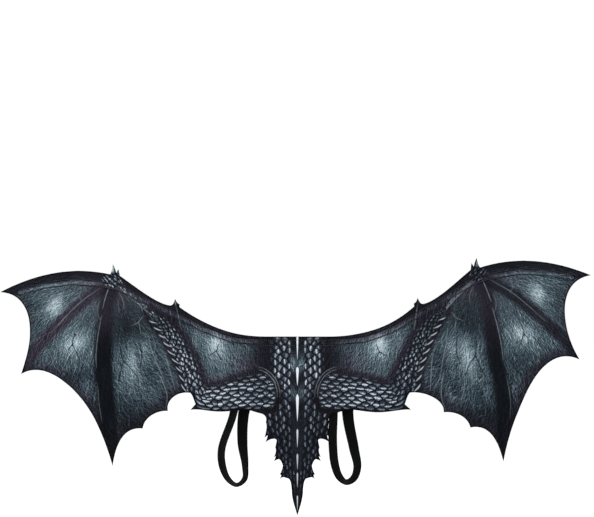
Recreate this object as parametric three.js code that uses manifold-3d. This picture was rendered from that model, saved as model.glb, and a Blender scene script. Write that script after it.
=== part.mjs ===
// Costume dragon wings: one die-cut sheet of printed cloth, held in shape along its top by a tape,
// with two elastic arm loops sewn to the tape. Millimetres, +Z up.
// The wearer faces +Y with the tape behind the neck, so the printed outer face looks along -Y.
// The origin is the middle of the tape, on the side that lies against the wearer.
import * as THREE from 'three';
import { mergeVertices } from 'three/addons/utils/BufferGeometryUtils.js';
import Module from 'manifold-3d';

const wasm = await Module();
wasm.setup();

// Driving dimensions
const HALF_SPAN = 525; // from the middle of the neck to a wing tip
const CLOTH_THICK = 1.5;
const TAPE_WIDE = 12;
const TAPE_THICK = 1.2;
const TAPE_DROP = 11; // the neck edge above the middle of the tape
const STRAP_WIDE = 25;
const STRAP_THICK = 1.3;
const SEAM_GAP = 0.3; // between two layers that are sewn together

// How the cloth lies when it is worn
const FLAT_HALF = 105; // this far each side of the middle it lies flat on the back
const FREE_HALF = 165; // and from here outwards it is free to belly and flutter
const SWEEP = 38; // how far a wing tip stands behind the shoulders
const SWING = THREE.MathUtils.degToRad(2.6); // the right wing is lifted by this, and the left one lowered
const SWING_PIVOT = { out: 196, up: 29 };
const SWING_FADE = { from: 100, to: 230 };
const TRAIL = { out: 7.5, down: 3.5, top: -20, bottom: -140, from: 195, to: 245 }; // of the right wing's hem
const FLUTTER = { deep: 5, long: 150, top: 60, bottom: -160, left: 2.2, right: 0.6 };
const TAIL_CURL = { deep: 12, top: -140, bottom: -320, from: 60, to: 110 };

// The cut edge of one half, from the tail's point up round the wing to the neck.
// out is from the middle line and up is from the neck edge. Where a stretch is curved, its two handles
// are given as h1 and h2, and a straight stretch has none.
const EDGE = [
  { corner: 'tail point', out: 0, up: -319.5 },
  { corner: 'tail side', out: 10, up: -278, h1: [4, -306], h2: [9.5, -292] },
  { corner: 'tail root', out: 15.5, up: -254, h1: [10.5, -268], h2: [11.5, -257] },
  { corner: 'barb 3 root', out: 24, up: -251.5 },
  { corner: 'barb 3', out: 32, up: -255.5, h1: [27, -251], h2: [30, -252.5] },
  { corner: 'barb 3 second', out: 31, up: -246, h1: [31, -251], h2: [30, -249] },
  { corner: 'barb 2 notch', out: 26, up: -231, h1: [28.5, -241], h2: [26.5, -236] },
  { corner: 'barb 2 root', out: 33.5, up: -219, h1: [27, -227], h2: [30, -219.5] },
  { corner: 'barb 2', out: 42, up: -222.5 },
  { corner: 'barb 2 second', out: 41.5, up: -216, h1: [39.5, -219.5], h2: [40, -218] },
  { corner: 'barb 1 knob', out: 39.5, up: -198.5, h1: [39, -210], h2: [37, -202] },
  { corner: 'barb 1 notch', out: 37, up: -186 },
  { corner: 'barb 1 root', out: 44, up: -183, h1: [37.5, -183], h2: [40, -182.5] },
  { corner: 'barb 1', out: 57, up: -189, h1: [49, -183.5], h2: [53, -186] },
  { corner: 'barb 1 second', out: 58.5, up: -180.5, h1: [55, -185], h2: [56.5, -182.5] },
  { corner: 'hip knob', out: 56.5, up: -153, h1: [56, -171], h2: [53.5, -160] },
  { corner: 'hip', out: 66.5, up: -137.5, h1: [53.5, -146], h2: [58, -138.5] },
  { corner: 'under arm 2', out: 94, up: -131, h1: [76, -135.5], h2: [84, -131] },
  { corner: 'under arm 1', out: 145, up: -135, h1: [108, -131], h2: [124, -135.5] },
  { corner: 'elbow barb', out: 197, up: -131, h1: [166, -134.5], h2: [182, -129] },
  { corner: 'elbow notch', out: 187, up: -121 },
  { corner: 'armpit', out: 196.5, up: -100.5, h1: [190, -115], h2: [191, -106] },
  { corner: 'web point 2', out: 246.5, up: -134, h1: [221, -97], h2: [250, -113] },
  { corner: 'web point 1', out: 293, up: -163.5, h1: [269, -132.5], h2: [290, -145] },
  { corner: 'second finger', out: 349, up: -227, h1: [322, -159], h2: [340, -179] },
  { corner: 'first finger', out: 497, up: -53, h1: [375, -111], h2: [439, -22] },
  { corner: 'wing tip', out: HALF_SPAN, up: 95, h1: [466, 12], h2: [466, 88] },
  { corner: 'claw outer root', out: 330.5, up: 117.5, h1: [460, 126], h2: [395, 135] },
  { corner: 'claw', out: 325, up: 135, h1: [327.5, 121], h2: [326, 128] },
  { corner: 'claw saddle', out: 319.5, up: 119.5, h1: [322.5, 130], h2: [320.5, 125] },
  { corner: 'small claw', out: 315.5, up: 126 },
  { corner: 'claw inner root', out: 313.5, up: 114 },
  { corner: 'spike outer root', out: 225.5, up: 57, h1: [288, 95], h2: [250, 60] },
  { corner: 'spike', out: 217, up: 68.5, h1: [221, 57.5], h2: [219, 62] },
  { corner: 'spike barb', out: 209.5, up: 58.5, h1: [215, 62], h2: [212, 59.5] },
  { corner: 'spike inner root', out: 210, up: 53.5 },
  { corner: 'collar', out: 59, up: 0, h1: [165, 17], h2: [115, 0.5] },
];
const EDGE_STEP = 9; // a curve between two corners is drawn with stretches about this long
const FEWEST_STEPS = 3;

// The webs between the fingers, which belly outwards: their middles, half sizes, lean and depth.
const WEBS = [
  { web: 'shoulder', out: 150, up: -30, wide: 46, tall: 46, lean: 8, deep: 4 },
  { web: 'arm', out: 300, up: -60, wide: 46, tall: 82, lean: 4, deep: 7 },
  { web: 'middle', out: 400, up: -10, wide: 42, tall: 76, lean: 24, deep: 6 },
  { web: 'tip', out: 434, up: 62, wide: 46, tall: 34, lean: 38, deep: 4 },
];

// The middle line of one half of the tape, out from the neck.
const TAPE_ROUTE = [
  { out: 0, up: -11 },
  { out: 60, up: -11 },
  { out: 120, up: -5.5 },
  { out: 170, up: 13 },
  { out: 222, up: 41.5 },
  { out: 270, up: 67 },
  { out: 314, up: 91 },
  { out: 350, up: 101.5 },
  { out: 400, up: 107 },
  { out: 450, up: 102.5 },
  { out: 492, up: 92.5 },
];
const TAPE_STEPS = 96;

// The arm loops: each one's middle line out from the neck, up from the tape and away from the cloth, with
// the turn of the band in degrees. At 0 it lies flat on the cloth, and as it turns its edge on the inside of
// the loop comes away from the cloth. The left loop has slid outwards.
const SEWN = TAPE_WIDE / 2 - 0.5; // a strap's end stops just under the tape's top edge
const STRAP_SEAT = SEAM_GAP + STRAP_THICK / 2;
const LOOPS = {
  left: [
    { at: 'inner end', out: 66, up: SEWN, away: STRAP_SEAT, turn: 0 },
    { at: 'inner seam', out: 66, up: -8, away: STRAP_SEAT, turn: 0 },
    { at: 'inner fall', out: 77, up: -60, away: 2.6, turn: 5 },
    { at: 'inner side', out: 96, up: -125, away: 10, turn: 38 },
    { at: 'inner low', out: 98.5, up: -180, away: 13, turn: 44 },
    { at: 'inner bend', out: 94, up: -220, away: 16, turn: 61 },
    { at: 'bottom inner', out: 95, up: -245, away: 19, turn: 68 },
    { at: 'bottom', out: 109, up: -256, away: 21, turn: 77 },
    { at: 'bottom outer', out: 124, up: -246, away: 21, turn: 70 },
    { at: 'outer bend', out: 134.5, up: -222, away: 20, turn: 61 },
    { at: 'outer low', out: 136, up: -192, away: 18, turn: 59 },
    { at: 'outer side', out: 115.5, up: -130, away: 15.5, turn: 58 },
    { at: 'outer fall', out: 104, up: -66, away: 8, turn: 16 },
    { at: 'outer seam', out: 92, up: -8, away: STRAP_SEAT, turn: 0 },
    { at: 'outer end', out: 92, up: SEWN, away: STRAP_SEAT, turn: 0 },
  ],
  right: [
    { at: 'inner end', out: 66, up: SEWN, away: STRAP_SEAT, turn: 0 },
    { at: 'inner seam', out: 66, up: -8, away: STRAP_SEAT, turn: 0 },
    { at: 'inner fall', out: 65, up: -60, away: 3.6, turn: 10 },
    { at: 'inner side', out: 64.5, up: -125, away: 11.5, turn: 50 },
    { at: 'inner low', out: 63.5, up: -180, away: 14, turn: 52 },
    { at: 'inner bend', out: 67.5, up: -220, away: 16, turn: 54 },
    { at: 'bottom inner', out: 75.5, up: -241, away: 18, turn: 60 },
    { at: 'bottom', out: 88, up: -251, away: 19.5, turn: 70 },
    { at: 'bottom outer', out: 101, up: -244, away: 19.5, turn: 63 },
    { at: 'outer bend', out: 107.5, up: -224, away: 18, turn: 57 },
    { at: 'outer low', out: 101.5, up: -190, away: 15, turn: 47 },
    { at: 'outer side', out: 90.5, up: -130, away: 10.5, turn: 38 },
    { at: 'outer fall', out: 92, up: -66, away: 4.5, turn: 14 },
    { at: 'outer seam', out: 92, up: -8, away: STRAP_SEAT, turn: 0 },
    { at: 'outer end', out: 92, up: SEWN, away: STRAP_SEAT, turn: 0 },
  ],
};
const LOOP_STEPS = 84;

// The cloth is meshed as a grid of this many cells before it is cut out.
const GRID = { across: 76, down: 34, margin: 12, top: 150, bottom: -334 };
const CUT_DEEP = 160; // longer than the cloth is deep from front to back

const COLOURS = { cloth: 0x2a3a40, tape: 0x0c0c0d, strap: 0x111113 };

const { smoothstep, clamp, degToRad } = THREE.MathUtils;
const SHEET_MID = -(TAPE_THICK + SEAM_GAP + CLOTH_THICK / 2);

// How far a point of the cloth lies in front of the flat sheet.
function lie(out, up, side) {
  const spread = Math.max(0, (out - FLAT_HALF) / (HALF_SPAN - FLAT_HALF));
  const free = smoothstep(out, FLAT_HALF, FREE_HALF);
  const billow = WEBS.reduce((sum, web) => {
    const lean = degToRad(web.lean);
    const across = (out - web.out) * Math.cos(lean) + (up - web.up) * Math.sin(lean);
    const along = (up - web.up) * Math.cos(lean) - (out - web.out) * Math.sin(lean);
    return sum + web.deep * Math.exp(-((across / web.wide) ** 2) - (along / web.tall) ** 2);
  }, 0);
  const phase = side > 0 ? FLUTTER.right : FLUTTER.left;
  const hanging = 1 - smoothstep(up, FLUTTER.bottom, FLUTTER.top);
  const flutter = FLUTTER.deep * hanging * Math.sin((2 * Math.PI * out) / FLUTTER.long + phase);
  const low = Math.max(0, (TAIL_CURL.top - up) / (TAIL_CURL.top - TAIL_CURL.bottom));
  const curl = TAIL_CURL.deep * low ** 2 * (1 - smoothstep(out, TAIL_CURL.from, TAIL_CURL.to));
  return -SWEEP * spread ** 2 + free * (flutter - billow) - curl;
}

// Where a point of the flat cut lies on the worn wings. proud is in front of the cloth's middle.
function hang(across, up, proud) {
  const side = across < 0 ? -1 : 1;
  const out = Math.abs(across);
  const angle = side * SWING * smoothstep(out, SWING_FADE.from, SWING_FADE.to);
  const pivot = new THREE.Vector2(SWING_PIVOT.out, SWING_PIVOT.up);
  const swung = new THREE.Vector2(out, up).rotateAround(pivot, angle);
  const trail = side * smoothstep(out, TRAIL.from, TRAIL.to) * (1 - smoothstep(up, TRAIL.bottom, TRAIL.top));
  return new THREE.Vector3(
    side * (swung.x + trail * TRAIL.out),
    SHEET_MID + lie(out, up, side) + proud,
    swung.y - trail * TRAIL.down + TAPE_DROP,
  );
}

// The cut edge as a closed ring of flat points.
function edgePoints() {
  const half = [];
  EDGE.forEach(({ out, up, h1, h2 }, i) => {
    const end = new THREE.Vector2(out, up);
    if (!h1) {
      half.push(end);
      return;
    }
    const start = new THREE.Vector2(EDGE[i - 1].out, EDGE[i - 1].up);
    const curve = new THREE.CubicBezierCurve(
      start, new THREE.Vector2(...h1), new THREE.Vector2(...h2), end,
    );
    const steps = Math.max(FEWEST_STEPS, Math.round(curve.getLength() / EDGE_STEP));
    half.push(...curve.getPoints(steps).slice(1));
  });
  const mirrored = half.slice(1).reverse().map((p) => new THREE.Vector2(-p.x, p.y));
  return [...half, ...mirrored];
}

function toSolid(geometry) {
  const bare = geometry.clone();
  bare.deleteAttribute('normal');
  bare.deleteAttribute('uv');
  const merged = mergeVertices(bare, 1e-4);
  return new wasm.Manifold(new wasm.Mesh({
    numProp: 3,
    vertProperties: merged.attributes.position.array,
    triVerts: new Uint32Array(merged.index.array),
  }));
}

function toGeometry(solid) {
  const { vertProperties, triVerts } = solid.getMesh();
  const geometry = new THREE.BufferGeometry();
  geometry.setAttribute('position', new THREE.BufferAttribute(vertProperties, 3));
  geometry.setIndex(new THREE.BufferAttribute(triVerts, 1));
  geometry.computeVertexNormals();
  return geometry;
}

// The uncut sheet in its worn shape.
function hungSheet() {
  const wide = 2 * (HALF_SPAN + GRID.margin);
  const tall = GRID.top - GRID.bottom;
  const sheet = new THREE.BoxGeometry(wide, tall, CLOTH_THICK, GRID.across, GRID.down, 1);
  const points = sheet.attributes.position;
  for (let i = 0; i < points.count; i += 1) {
    // The box's own front faces the viewer, and so does the printed side, at -Y.
    const up = points.getY(i) + (GRID.top + GRID.bottom) / 2;
    const placed = hang(points.getX(i), up, -points.getZ(i));
    points.setXYZ(i, placed.x, placed.y, placed.z);
  }
  return sheet;
}

// A prism with the cut edge as its outline, standing through the sheet.
function cutter() {
  const outline = edgePoints().map((p) => {
    const placed = hang(p.x, p.y, 0);
    return new THREE.Vector2(placed.x, placed.z);
  });
  const prism = new THREE.ExtrudeGeometry(new THREE.Shape(outline), {
    depth: CUT_DEEP, bevelEnabled: false,
  });
  return prism.rotateX(Math.PI / 2).translate(0, CUT_DEEP / 2, 0);
}

function clothGeometry() {
  return toGeometry(toSolid(hungSheet()).intersect(toSolid(cutter())));
}

// A closed body through rings of four corners, each ring turning left about the way that it is swept.
function loft(rings) {
  const corners = rings[0].length;
  const last = (rings.length - 1) * corners;
  const index = [];
  for (let r = 0; r < rings.length - 1; r += 1) {
    for (let c = 0; c < corners; c += 1) {
      const next = (c + 1) % corners;
      const [a, b] = [r * corners + c, r * corners + next];
      // Opposite faces are split along the same diagonal, so a turned band keeps its thickness.
      if (c < corners / 2) index.push(a, b, b + corners, a, b + corners, a + corners);
      else index.push(a, b, a + corners, b, b + corners, a + corners);
    }
  }
  for (let c = 1; c < corners - 1; c += 1) {
    index.push(0, c + 1, c);
    index.push(last, last + c, last + c + 1);
  }
  const geometry = new THREE.BufferGeometry().setFromPoints(rings.flat());
  geometry.setIndex(index);
  geometry.computeVertexNormals();
  return geometry;
}

function tapeGeometry() {
  const half = TAPE_ROUTE.map((p) => new THREE.Vector3(p.out, p.up, 0));
  const mirrored = half.slice(1).reverse().map((p) => new THREE.Vector3(-p.x, p.y, 0));
  const route = new THREE.CatmullRomCurve3([...mirrored, ...half]);
  const under = CLOTH_THICK / 2 + SEAM_GAP;
  const rings = [];
  for (let i = 0; i <= TAPE_STEPS; i += 1) {
    const middle = route.getPointAt(i / TAPE_STEPS);
    const along = route.getTangentAt(i / TAPE_STEPS);
    const [dx, dy] = [(-along.y * TAPE_WIDE) / 2, (along.x * TAPE_WIDE) / 2];
    const corner = (edge, proud) => hang(middle.x + edge * dx, middle.y + edge * dy, proud);
    rings.push([
      corner(-1, under + TAPE_THICK), corner(1, under + TAPE_THICK), corner(1, under), corner(-1, under),
    ]);
  }
  return loft(rings);
}

function strapGeometry(side) {
  const loop = side > 0 ? LOOPS.right : LOOPS.left;
  const route = new THREE.CatmullRomCurve3(
    loop.map((p) => new THREE.Vector3(side * p.out, p.away, p.up)),
  );
  const turns = new THREE.CatmullRomCurve3(loop.map((p) => new THREE.Vector3(p.turn, 0, 0)));
  const towardsWearer = new THREE.Vector3(0, 1, 0);
  const rings = [];
  for (let i = 0; i <= LOOP_STEPS; i += 1) {
    const middle = route.getPoint(i / LOOP_STEPS);
    const along = route.getTangent(i / LOOP_STEPS);
    const angle = degToRad(clamp(turns.getPoint(i / LOOP_STEPS).x, 0, 90));
    const flat = new THREE.Vector3().crossVectors(along, towardsWearer).normalize();
    const wide = flat.applyAxisAngle(along, -side * angle).multiplyScalar(STRAP_WIDE / 2);
    const thick = new THREE.Vector3().crossVectors(along, wide).setLength(STRAP_THICK / 2);
    const corner = (w, t) => middle.clone().addScaledVector(wide, w).addScaledVector(thick, t);
    rings.push([corner(1, 1), corner(-1, 1), corner(-1, -1), corner(1, -1)]);
  }
  return loft(rings);
}

const fabric = (color, roughness) => new THREE.MeshStandardMaterial({ color, roughness, metalness: 0 });

function named(name, geometry, material) {
  const mesh = new THREE.Mesh(geometry, material);
  mesh.name = name;
  return mesh;
}

const wings = new THREE.Group();
wings.add(named('wing_cloth', clothGeometry(), fabric(COLOURS.cloth, 0.6)));
wings.add(named('edge_tape', tapeGeometry(), fabric(COLOURS.tape, 0.85)));
wings.add(named('strap_left', strapGeometry(-1), fabric(COLOURS.strap, 0.8)));
wings.add(named('strap_right', strapGeometry(1), fabric(COLOURS.strap, 0.8)));

export default wings;
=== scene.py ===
# Costume dragon wings: a die-cut printed cloth, a tape sewn behind its top edge and two elastic arm loops.
# Tables are in millimetres on the flat cut, out from the middle line and up from the neck edge.
import math

import bmesh
import bpy
import numpy as np
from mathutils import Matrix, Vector, kdtree, noise
from mathutils.geometry import delaunay_2d_cdt


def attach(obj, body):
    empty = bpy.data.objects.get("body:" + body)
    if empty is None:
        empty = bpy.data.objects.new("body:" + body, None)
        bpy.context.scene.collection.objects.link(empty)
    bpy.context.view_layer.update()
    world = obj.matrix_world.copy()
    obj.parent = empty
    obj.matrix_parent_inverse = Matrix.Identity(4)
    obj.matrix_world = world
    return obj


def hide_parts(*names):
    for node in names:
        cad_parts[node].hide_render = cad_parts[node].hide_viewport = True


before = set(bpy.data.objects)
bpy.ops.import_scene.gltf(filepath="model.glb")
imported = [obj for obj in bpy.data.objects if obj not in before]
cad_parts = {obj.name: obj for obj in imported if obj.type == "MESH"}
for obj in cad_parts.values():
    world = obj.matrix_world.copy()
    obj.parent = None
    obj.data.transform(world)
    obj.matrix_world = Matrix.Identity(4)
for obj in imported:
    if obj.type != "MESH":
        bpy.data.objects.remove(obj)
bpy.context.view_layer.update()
bpy.ops.object.select_all(action="DESELECT")

mm = 0.001
body = "root"

# How the cloth lies when it is worn, the same as in the solids.
lay = {
    "halfSpan": 525, "flatHalf": 105, "freeHalf": 165, "sweep": 38,
    "swing": math.radians(2.6), "swingPivot": (196, 29), "swingFade": (100, 230),
    "trail": (7.5, -3.5), "trailUp": (-140, -20), "trailFade": (195, 245),
    "flutter": 5, "flutterLong": 150, "flutterUp": (-160, 60), "flutterLeft": 2.2, "flutterRight": 0.6,
    "curl": 12, "curlUp": (-320, -140), "curlFade": (60, 110),
    "clothThick": 1.5, "tapeThick": 1.2, "tapeWide": 12, "seamGap": 0.3, "tapeDrop": 11,
}
sheetMiddle = -(lay["tapeThick"] + lay["seamGap"] + lay["clothThick"] / 2)


def table(columns, *rows):  # rows of numbers under named columns
    return [dict(zip(columns.split(), row)) for row in rows]


webs = table(  # where the cloth bellies out between the fingers
    "out up wide tall lean deep",
    (150, -30, 46, 46, 8, 4), (300, -60, 46, 82, 4, 7), (400, -10, 42, 76, 24, 6), (434, 62, 46, 34, 38, 4))

# One half of the cut edge from the tail to the neck: each corner, where it is, and two handles if curved.
cutEdge = [
    ("tail point", (0, -319.5)),
    ("tail side", (10, -278), (4, -306), (9.5, -292)),
    ("tail root", (15.5, -254), (10.5, -268), (11.5, -257)),
    ("barb 3 root", (24, -251.5)),
    ("barb 3", (32, -255.5), (27, -251), (30, -252.5)),
    ("barb 3 cleft", (28.9, -248.4), (31, -253.2), (29.4, -250.6)),
    ("barb 3 second", (31.2, -246)),
    ("barb 2 notch", (26, -231), (28.5, -241), (26.5, -236)),
    ("barb 2 root", (33.5, -219), (27, -227), (30, -219.5)),
    ("barb 2", (42, -222.5)),
    ("barb 2 cleft", (38.6, -213.4), (40.2, -219.4), (38.9, -216.4)),
    ("barb 2 second", (42.2, -216.6)),
    ("barb 1 knob", (39.5, -198.5), (39, -210), (37, -202)),
    ("barb 1 notch", (37, -186)),
    ("barb 1 root", (44, -183), (37.5, -183), (40, -182.5)),
    ("barb 1", (57, -189), (49, -183.5), (53, -186)),
    ("barb 1 cleft", (53.2, -176.4), (55.2, -184.4), (53.4, -180.4)),
    ("barb 1 second", (58.8, -180.8)),
    ("hip knob", (56.5, -153), (56, -171), (53.5, -160)),
    ("hip", (66.5, -137.5), (53.5, -146), (58, -138.5)),
    ("under arm 2", (94, -131), (76, -135.5), (84, -131)),
    ("under arm 1", (145, -135), (108, -131), (124, -135.5)),
    ("elbow barb", (197, -131), (166, -134.5), (182, -129)),
    ("elbow notch", (187, -121)),
    ("armpit", (196.5, -100.5), (190, -115), (191, -106)),
    ("web point 2", (246.5, -134), (221, -97), (250, -113)),
    ("web point 1", (293, -163.5), (269, -132.5), (290, -145)),
    ("second finger", (349, -227), (322, -159), (340, -179)),
    ("first finger", (497, -53), (375, -111), (439, -22)),
    ("wing tip", (525, 95), (466, 12), (466, 88)),
    ("claw outer root", (330.5, 117.5), (460, 126), (395, 135)),
    ("claw", (325, 135), (327.5, 121), (326, 128)),
    ("claw saddle", (319.5, 119.5), (322.5, 130), (320.5, 125)),
    ("small claw", (315.5, 126)),
    ("claw inner root", (313.5, 114)),
    ("spike outer root", (225.5, 57), (288, 95), (250, 60)),
    ("spike", (217, 68.5), (221, 57.5), (219, 62)),
    ("spike barb", (209.5, 58.5), (215, 62), (212, 59.5)),
    ("spike inner root", (210, 53.5)),
    ("collar", (59, 0), (165, 17), (115, 0.5)),
]

tapeRoute = [
    (0, -11), (60, -11), (120, -5.5), (170, 13), (222, 41.5), (270, 67),
    (314, 91), (350, 101.5), (400, 107), (450, 102.5), (492, 92.5),
]

# What is printed on the cloth, as lines on one half.
wrist = (322, 108)
printed = {
    "fingerOne": [(322, 108), (383, 68.5), (427, 29.5), (454, 3.5), (476, -21), (497, -53)],
    "fingerTwo": [(322, 108), (338, 70), (343.7, 32.5), (349.5, -35), (355, -122), (352, -190), (349, -227)],
    "wristRidge": [(320, 98), (300, 81), (281, 65), (264, 48), (250, 28)],
    "arm": [(18, -92), (100, -101), (152, -108), (174, -107), (197, -53), (213, -19), (234, 16), (262, 46)],
}
armScales = {  # at each point of the arm: half its width, and the scales' length, width and brightness
    "half": [31, 30, 25, 24, 16, 14.5, 11, 5], "long": [16, 17, 17, 14, 10.5, 9.5, 9, 8],
    "wide": [12.5, 13, 13, 12, 11, 10.5, 9.5, 8], "level": [0.95, 1.2, 1.3, 1.25, 1.15, 1.1, 0.95, 0.7],
}
backScales = {  # the back's half width above and below the hip, and the scales at two heights
    "half": 47, "hipHalf": 62, "hipUp": -138, "inner": 11, "innerLow": 4,
    "up": (-290, -140), "long": (9.5, 14.2), "wide": (10.5, 17.0), "shift": 0.36,
}
knuckleScales = {"out": 326, "up": 112, "reach": (15, 22), "top": (118, 123), "size": 9.5}
paleLines = [  # thin pale lines and how pale they are
    ([(333, 97), (341, 76), (347, 56)], 0.6),
    ([(349, 44), (357, 8), (362, -26), (363, -48)], 0.5),
    ([(365, -75), (367, -120), (364, -150)], 0.25),
    ([(346, 96), (383, 72), (412, 46), (441, 17)], 0.42),
    ([(321, 95), (300, 78), (281, 61), (264, 42), (250, 22)], 0.7),
    ([(316, 96), (297, 80), (279, 64), (266, 50)], 0.45),
    ([(216, 56), (212, 34), (208, 12)], 0.5),
    ([(268, 10), (263, -20), (255, -46), (247, -76)], 0.55),
    ([(256, -62), (249, -84), (245, -106), (250, -131)], 0.52),
    ([(240, -30), (235, -52), (231, -78), (228, -96)], 0.5),
    ([(292, -44), (288, -90), (277, -122)], 0.34),
    ([(262, 6), (256, -10), (258, -24)], 0.4),
    ([(371, 88), (377, 96), (375, 106), (380, 114)], 0.2),
    ([(386, 100), (383, 92), (387, 82), (382, 70)], 0.28),
    ([(395, 112), (391, 104), (394, 94)], 0.22),
    ([(352, 70), (356, 52), (353, 38)], 0.3),
    ([(296, 24), (284, 30), (276, 40)], 0.4),
    ([(283, 30), (281, 8)], 0.35),
    ([(316, 84), (309, 66), (311, 52)], 0.28),
    ([(323, 117), (325.5, 130)], 0.9),
    ([(326, 118), (326, 128)], 0.6),
]
shoulderArc = {"out": 75, "up": -105, "wide": 39, "tall": 46, "start": 98, "end": 184,
               "apart": 4.8, "levels": (0.52, 0.44)}
veins = [  # dark branching lines in the arm web
    [(318, -16), (314, -38), (303, -52), (292, -72)],
    [(314, -38), (320, -54), (328, -76)],
    [(283, -8), (281, -30), (286, -52)],
    [(398, 14), (402, -2), (395, -22)],
    [(402, -2), (410, -14)],
    [(141, -14), (146, -26), (158, -34)],
    [(146, -26), (138, -42)],
]
spikes = [  # bright lenses down the middle line: top, bottom, half width and brightness
    (3, -41.5, 1.9, 1.0), (-54, -88.5, 2.7, 1.0), (-103, -152, 2.8, 1.0), (-165, -199, 1.8, 0.75),
    (-209, -239, 1.7, 0.6), (-243, -271, 1.4, 0.65), (-283, -311, 1.3, 0.7),
]
# Light and dark patches of the print, added to its tone.
patches = table(
    "out up wide tall lean tone",
    (430, 66, 13, 18, 28, 0.44), (426, 64, 36, 40, 45, 0.06), (399, -3, 23, 15, -20, 0.42),
    (398, -8, 40, 46, 14, 0.07), (392, -60, 34, 18, 0, -0.14), (300, -44, 10, 38, 5, 0.32),
    (307, -50, 20, 36, 5, 0.06), (274, -20, 10, 27, -8, 0.21), (252, -62, 26, 44, -12, -0.1),
    (300, 14, 50, 28, 0, -0.19), (146, -17, 19, 27, 0, 0.42), (147, -8, 11, 13, 0, 0.2),
    (122, -30, 30, 24, 0, 0.06), (183, -10, 10, 30, 20, 0.12), (308, 54, 34, 30, 20, -0.12),
    (330, 100, 40, 26, 0, -0.1), (218, 34, 20, 26, 0, -0.2), (318, -150, 60, 46, 0, -0.2),
    (484, 68, 24, 60, 0, -0.05), (66, -40, 26, 30, 0, -0.18))
brightSpots = table(  # beside the bright lenses, and on the claws
    "out up wide tall lean tone",
    (7, -50, 8, 16, -8, 0.44), (7, -101, 8, 16, -8, 0.38), (326, 126, 2.6, 9, 4, 0.7),
    (315.8, 120, 1.8, 6, 0, 0.5), (217, 62, 2.0, 6, 0, 0.34))
slimArm, elbowScales, rightGlow, wristViolet, shoulderViolet, armViolet = table(
    "out up wide tall lean",
    (150, -84, 46, 40, 0), (184, -118, 20, 18, 0), (289, -28, 26, 44, 8),
    (322, 100, 60, 46, 0), (88, -52, 30, 20, 0), (145, -80, 34, 10, 0))


def smooth(x, low, high):  # 0 below low and 1 above high
    t = np.clip((x - low) / (high - low), 0, 1)
    return t * t * (3 - 2 * t)


def spot(out, up, row):  # a soft oval patch, 1 in its middle
    lean = math.radians(row["lean"])
    across = (out - row["out"]) * math.cos(lean) + (up - row["up"]) * math.sin(lean)
    along = (up - row["up"]) * math.cos(lean) - (out - row["out"]) * math.sin(lean)
    return np.exp(-(across / row["wide"]) ** 2 - (along / row["tall"]) ** 2)


def curveThrough(points, perStretch):  # a centripetal curve through the points
    p = np.array(points, float)
    p = np.vstack([2 * p[0] - p[1], p, 2 * p[-1] - p[-2]])
    t = np.linspace(0, 1, perStretch, endpoint=False)[:, None]
    drawn = []
    for p0, p1, p2, p3 in zip(p, p[1:], p[2:], p[3:]):
        gaps = [np.linalg.norm(b - a) ** 0.5 for a, b in ((p0, p1), (p1, p2), (p2, p3))]
        middle = gaps[1] if gaps[1] > 1e-4 else 1.0
        before, after = (gap if gap > 1e-4 else middle for gap in (gaps[0], gaps[2]))
        m1 = ((p1 - p0) / before - (p2 - p0) / (before + middle) + (p2 - p1) / middle) * middle
        m2 = ((p2 - p1) / middle - (p3 - p1) / (middle + after) + (p3 - p2) / after) * middle
        drawn.append((2 * t**3 - 3 * t**2 + 1) * p1 + (t**3 - 2 * t**2 + t) * m1
                     + (3 * t**2 - 2 * t**3) * p2 + (t**3 - t**2) * m2)
    return np.vstack([*drawn, p[-2:-1]])


def travelledAlong(points):  # how far along the line each point is
    return np.concatenate([[0], np.cumsum(np.linalg.norm(np.diff(points, axis=0), axis=1))])


def unit(runs):
    return runs / np.linalg.norm(runs, axis=1)[:, None]


def leftOf(runs):  # a quarter turn to the left
    return np.stack([-runs[:, 1], runs[:, 0]], 1)


def spaced(points, step):  # the same line with points about a step apart
    points = np.asarray(points, float)
    travelled = travelledAlong(points)
    wanted = np.linspace(0, travelled[-1], max(2, round(travelled[-1] / step) + 1))
    return np.stack([np.interp(wanted, travelled, column) for column in points.T], 1)


def toLine(out, up, line):  # distance to a line, its sign (+ on the left of it) and how far along it
    best = np.full(out.shape, 1e9)
    side = np.ones(out.shape)
    along = np.zeros(out.shape)
    travelled = 0.0
    for a, b in zip(line, line[1:]):
        run = b - a
        length = np.hypot(*run)
        t = np.clip(((out - a[0]) * run[0] + (up - a[1]) * run[1]) / length**2, 0, 1)
        dx, dy = out - a[0] - t * run[0], up - a[1] - t * run[1]
        distance = np.hypot(dx, dy)
        nearer = distance < best
        best = np.where(nearer, distance, best)
        side = np.where(nearer, np.sign(run[0] * dy - run[1] * dx), side)
        along = np.where(nearer, travelled + t * length, along)
        travelled += length
    return best, side, along


def bothHalves(line):  # the line from one side through the middle to the other
    half = np.asarray(line, float)
    return np.vstack([half[:0:-1] * (-1, 1), half])


tapeLine = curveThrough(bothHalves(tapeRoute), 6)


# Small relief of the sewn cloth, all of it away from the wearer.
relief = {
    "ridge": 0.4, "ridgeHalf": 5.2,              # the tape shows through as a low ridge
    "pucker": 0.45, "puckerLong": 8.5, "puckerReach": 9,   # the seam gathers the cloth a little
    "crease": 0.9, "creaseWide": 11, "creaseLong": 46, "fold": 2.2, "foldEvery": 35.718,
}
streakLay = {"spread": 170, "innerOut": 196}   # millimetres for a radian round the wrist, and where that stops


def grainAt(out, up):  # across and along the print's streaks, which spread from the wrist
    dx, dy = out - wrist[0], wrist[1] - up
    turn, reach = np.arctan2(dx, dy), np.hypot(dx, dy)
    inside = (dx * 0.84 + dy * 0.55 < 0) | (out < streakLay["innerOut"])   # the shoulder side of the forearm
    return np.where(inside, out, streakLay["spread"] * turn), np.where(inside, -up, reach)


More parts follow.
